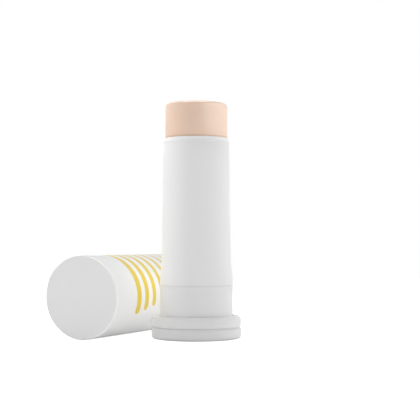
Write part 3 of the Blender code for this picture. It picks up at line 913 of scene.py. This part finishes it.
def make_stick():
    """All pieces of the stick and its cap, each with its finish."""
    # The lip's paler tone is painted light
    painted_light_walls = ((painted_light_lip, LIP_PAINTED_LIGHT_TONE),)
    shell_white = moulded_white("satin_white", BARREL_TONES, SATIN_ROUGHNESS, painted_light_walls)
    # Shaded copies of the barrel's white: their darker tones are painted shade
    collar_shaded_white = moulded_white("collar_shaded_white", COLLAR_SHADED_TONES, SATIN_ROUGHNESS)
    knob_shaded_white = moulded_white("knob_shaded_white", KNOB_SHADED_TONES, SATIN_ROUGHNESS)
    prints = ((stripes, YELLOW_INK), (spot, PEACH_INK), (dashes, BLACK_INK))
    cap_shaded_white = moulded_white("cap_shaded_white", CAP_SHADED_TONES, SATIN_ROUGHNESS, prints=prints)
    insert_white = moulded_white("insert_white", INSERT_TONES, INSERT_ROUGHNESS)
    peach_balm = balm("peach_balm")
    for name, body, slot, nodes, shape, finish in (
        ("barrel_skin", "tube", "white_shell", ["barrel"], barrel_shape(), shell_white),
        ("collar_skin", "tube", "white_shell", ["shoulder_collar"], collar_shape(), collar_shaded_white),
        ("knob_skin", "knob", "white_shell", ["turn_knob"], knob_shape(), knob_shaded_white),
        ("plug_skin", "knob", "white_shell", ["base_plug"], plug_shape(), insert_white),
        ("bar_skin", "lift", "peach_balm", ["sunscreen_bar"], bar_shape(), peach_balm),
        ("shell_skin", "cap", "white_shell", ["cap_shell"], shell_shape(), cap_shaded_white),
        ("liner_skin", "cap", "white_insert", ["cap_liner"], liner_shape(), insert_white),
    ):
        make_piece(name, body, nodes, shape, finish)
    for node, finish in (
        ("spindle", acetal("screw_acetal")),
        ("brake_ring", rubber("ring_rubber")),
        ("elevator", insert_white),
    ):
        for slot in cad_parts[node].material_slots:
            slot.material = finish


def make_floor():
    """A white floor that keeps the stick's shadow and runs to plain white with distance."""
    finish = new_finish("white_floor")
    far_x, far_y, _ = finish.parts(finish.place())
    distance = (far_x * far_x + far_y * far_y) ** 0.5
    away = ((distance - FLOOR_NEAR) / FLOOR_FADE).clamped()
    ray = finish.node("ShaderNodeLightPath", output="Is Camera Ray")
    matt = finish.node("ShaderNodeBsdfDiffuse", {}, {"Color": rgb(FLOOR_WHITE)})
    lit = ray * FLOOR_GLOW
    glow = finish.node("ShaderNodeEmission", {}, {"Color": rgb(WHITE), "Strength": lit})
    near = finish.node("ShaderNodeAddShader", {}, {0: matt, 1: glow})
    plain = finish.node("ShaderNodeEmission", {}, {"Color": rgb(WHITE), "Strength": 1.0})
    shown = finish.node("ShaderNodeMixShader", {}, {0: away * ray, 1: near, 2: plain})
    finish.node("ShaderNodeOutputMaterial", {}, {0: shown})
    size = FLOOR_HALF
    mesh = bpy.data.meshes.new("floor")
    mesh.from_pydata(
        [(-size, -size, 0), (size, -size, 0), (size, size, 0), (-size, size, 0)], [], [(0, 1, 2, 3)]
    )
    mesh.materials.append(finish.owner)
    floor = bpy.data.objects.new("floor", mesh)
    bpy.context.scene.collection.objects.link(floor)


def make_world():
    """White all round for the camera and in reflections. The lamps give the rest of the light."""
    world = bpy.data.worlds.new("studio")
    bpy.context.scene.world = world
    finish = Finish(world)
    seen = finish.node("ShaderNodeLightPath", output="Is Camera Ray")
    seen = seen.at_least(finish.node("ShaderNodeLightPath", output="Is Glossy Ray"))
    seen = seen.at_least(finish.node("ShaderNodeLightPath", output="Is Transmission Ray"))
    light = finish.node("ShaderNodeBackground", {}, {"Color": rgb(WHITE), "Strength": seen})
    finish.node("ShaderNodeOutputWorld", {}, {0: light})


def soft_lamp(name, right, back, up, size, power, lit, blocking, sheen=False):
    """A square lamp that faces the stick, set by its distance right of, behind and above it.

    lit and blocking are the pieces that take its light and that stop it. A lamp shows in gloss only
    where it is a sheen, which adds nothing else. Elsewhere gloss shows the white world alone.
    """
    look = np.array(CAMERA_LOOK)
    side = np.array((look[1], -look[0]))
    place = np.append(side * right + look * back, up)
    data = bpy.data.lights.new(name, "AREA")
    data.shape = "SQUARE"
    data.size = size
    data.energy = power
    lamp = bpy.data.objects.new(name, data)
    lamp.location = place
    aim = np.array(LAMP_AIM) - place
    across = math.hypot(aim[0], aim[1])
    lamp.rotation_euler = (math.atan2(across, -aim[2]), 0, math.atan2(-aim[0], aim[1]))
    lamp.visible_glossy = sheen
    lamp.visible_diffuse = not sheen
    lamp.light_linking.receiver_collection = lit
    lamp.light_linking.blocker_collection = blocking
    bpy.context.scene.collection.objects.link(lamp)


def link_group(name, pieces, state):
    """Pieces that a lamp is kept to (INCLUDE) or that it passes over (EXCLUDE)."""
    group = bpy.data.collections.new(name)
    for piece in pieces:
        group.objects.link(piece)
    for entry in group.collection_objects:
        entry.light_linking.link_state = state
    return group


def make_lamps():
    """The lamps of the stick and the floor, those of the cap alone and the sheens.

    The stick casts no shadow on the cap, and the cap none in the light of the passing lamp.
    """
    cap = [bpy.data.objects[name] for name in ("shell_skin", "liner_skin")]
    all_but_cap = link_group("all_but_cap", cap, "EXCLUDE")
    cap_only = link_group("cap_only", cap, "INCLUDE")
    for name, lamp in PASSING_LAMPS.items():
        soft_lamp(name, *lamp, all_but_cap, all_but_cap)
    for name, lamp in LAMPS.items():
        soft_lamp(name, *lamp, all_but_cap, None)
    for name, lamp in CAP_LAMPS.items():
        soft_lamp(name + "_on_cap", *lamp, cap_only, cap_only)
    for name, (piece, *lamp) in SHEENS.items():
        only = link_group(name + "_only", [bpy.data.objects[piece]], "INCLUDE")
        soft_lamp(name, *lamp, only, only, True)


def make_camera():
    """A level camera at the photograph's viewpoint."""
    data = bpy.data.cameras.new("camera")
    data.lens = CAMERA_LENS
    data.sensor_width = CAMERA_SENSOR
    data.shift_y = CAMERA_SHIFT
    data.clip_start = CAMERA_NEAR
    camera = bpy.data.objects.new("camera", data)
    camera.location = CAMERA_PLACE
    camera.rotation_euler = (math.pi / 2, 0, math.atan2(-CAMERA_LOOK[0], CAMERA_LOOK[1]))
    bpy.context.scene.collection.objects.link(camera)
    bpy.context.scene.camera = camera


make_stick()
make_floor()
make_world()
make_lamps()
make_camera()
bpy.context.scene.view_settings.view_transform = "Standard"
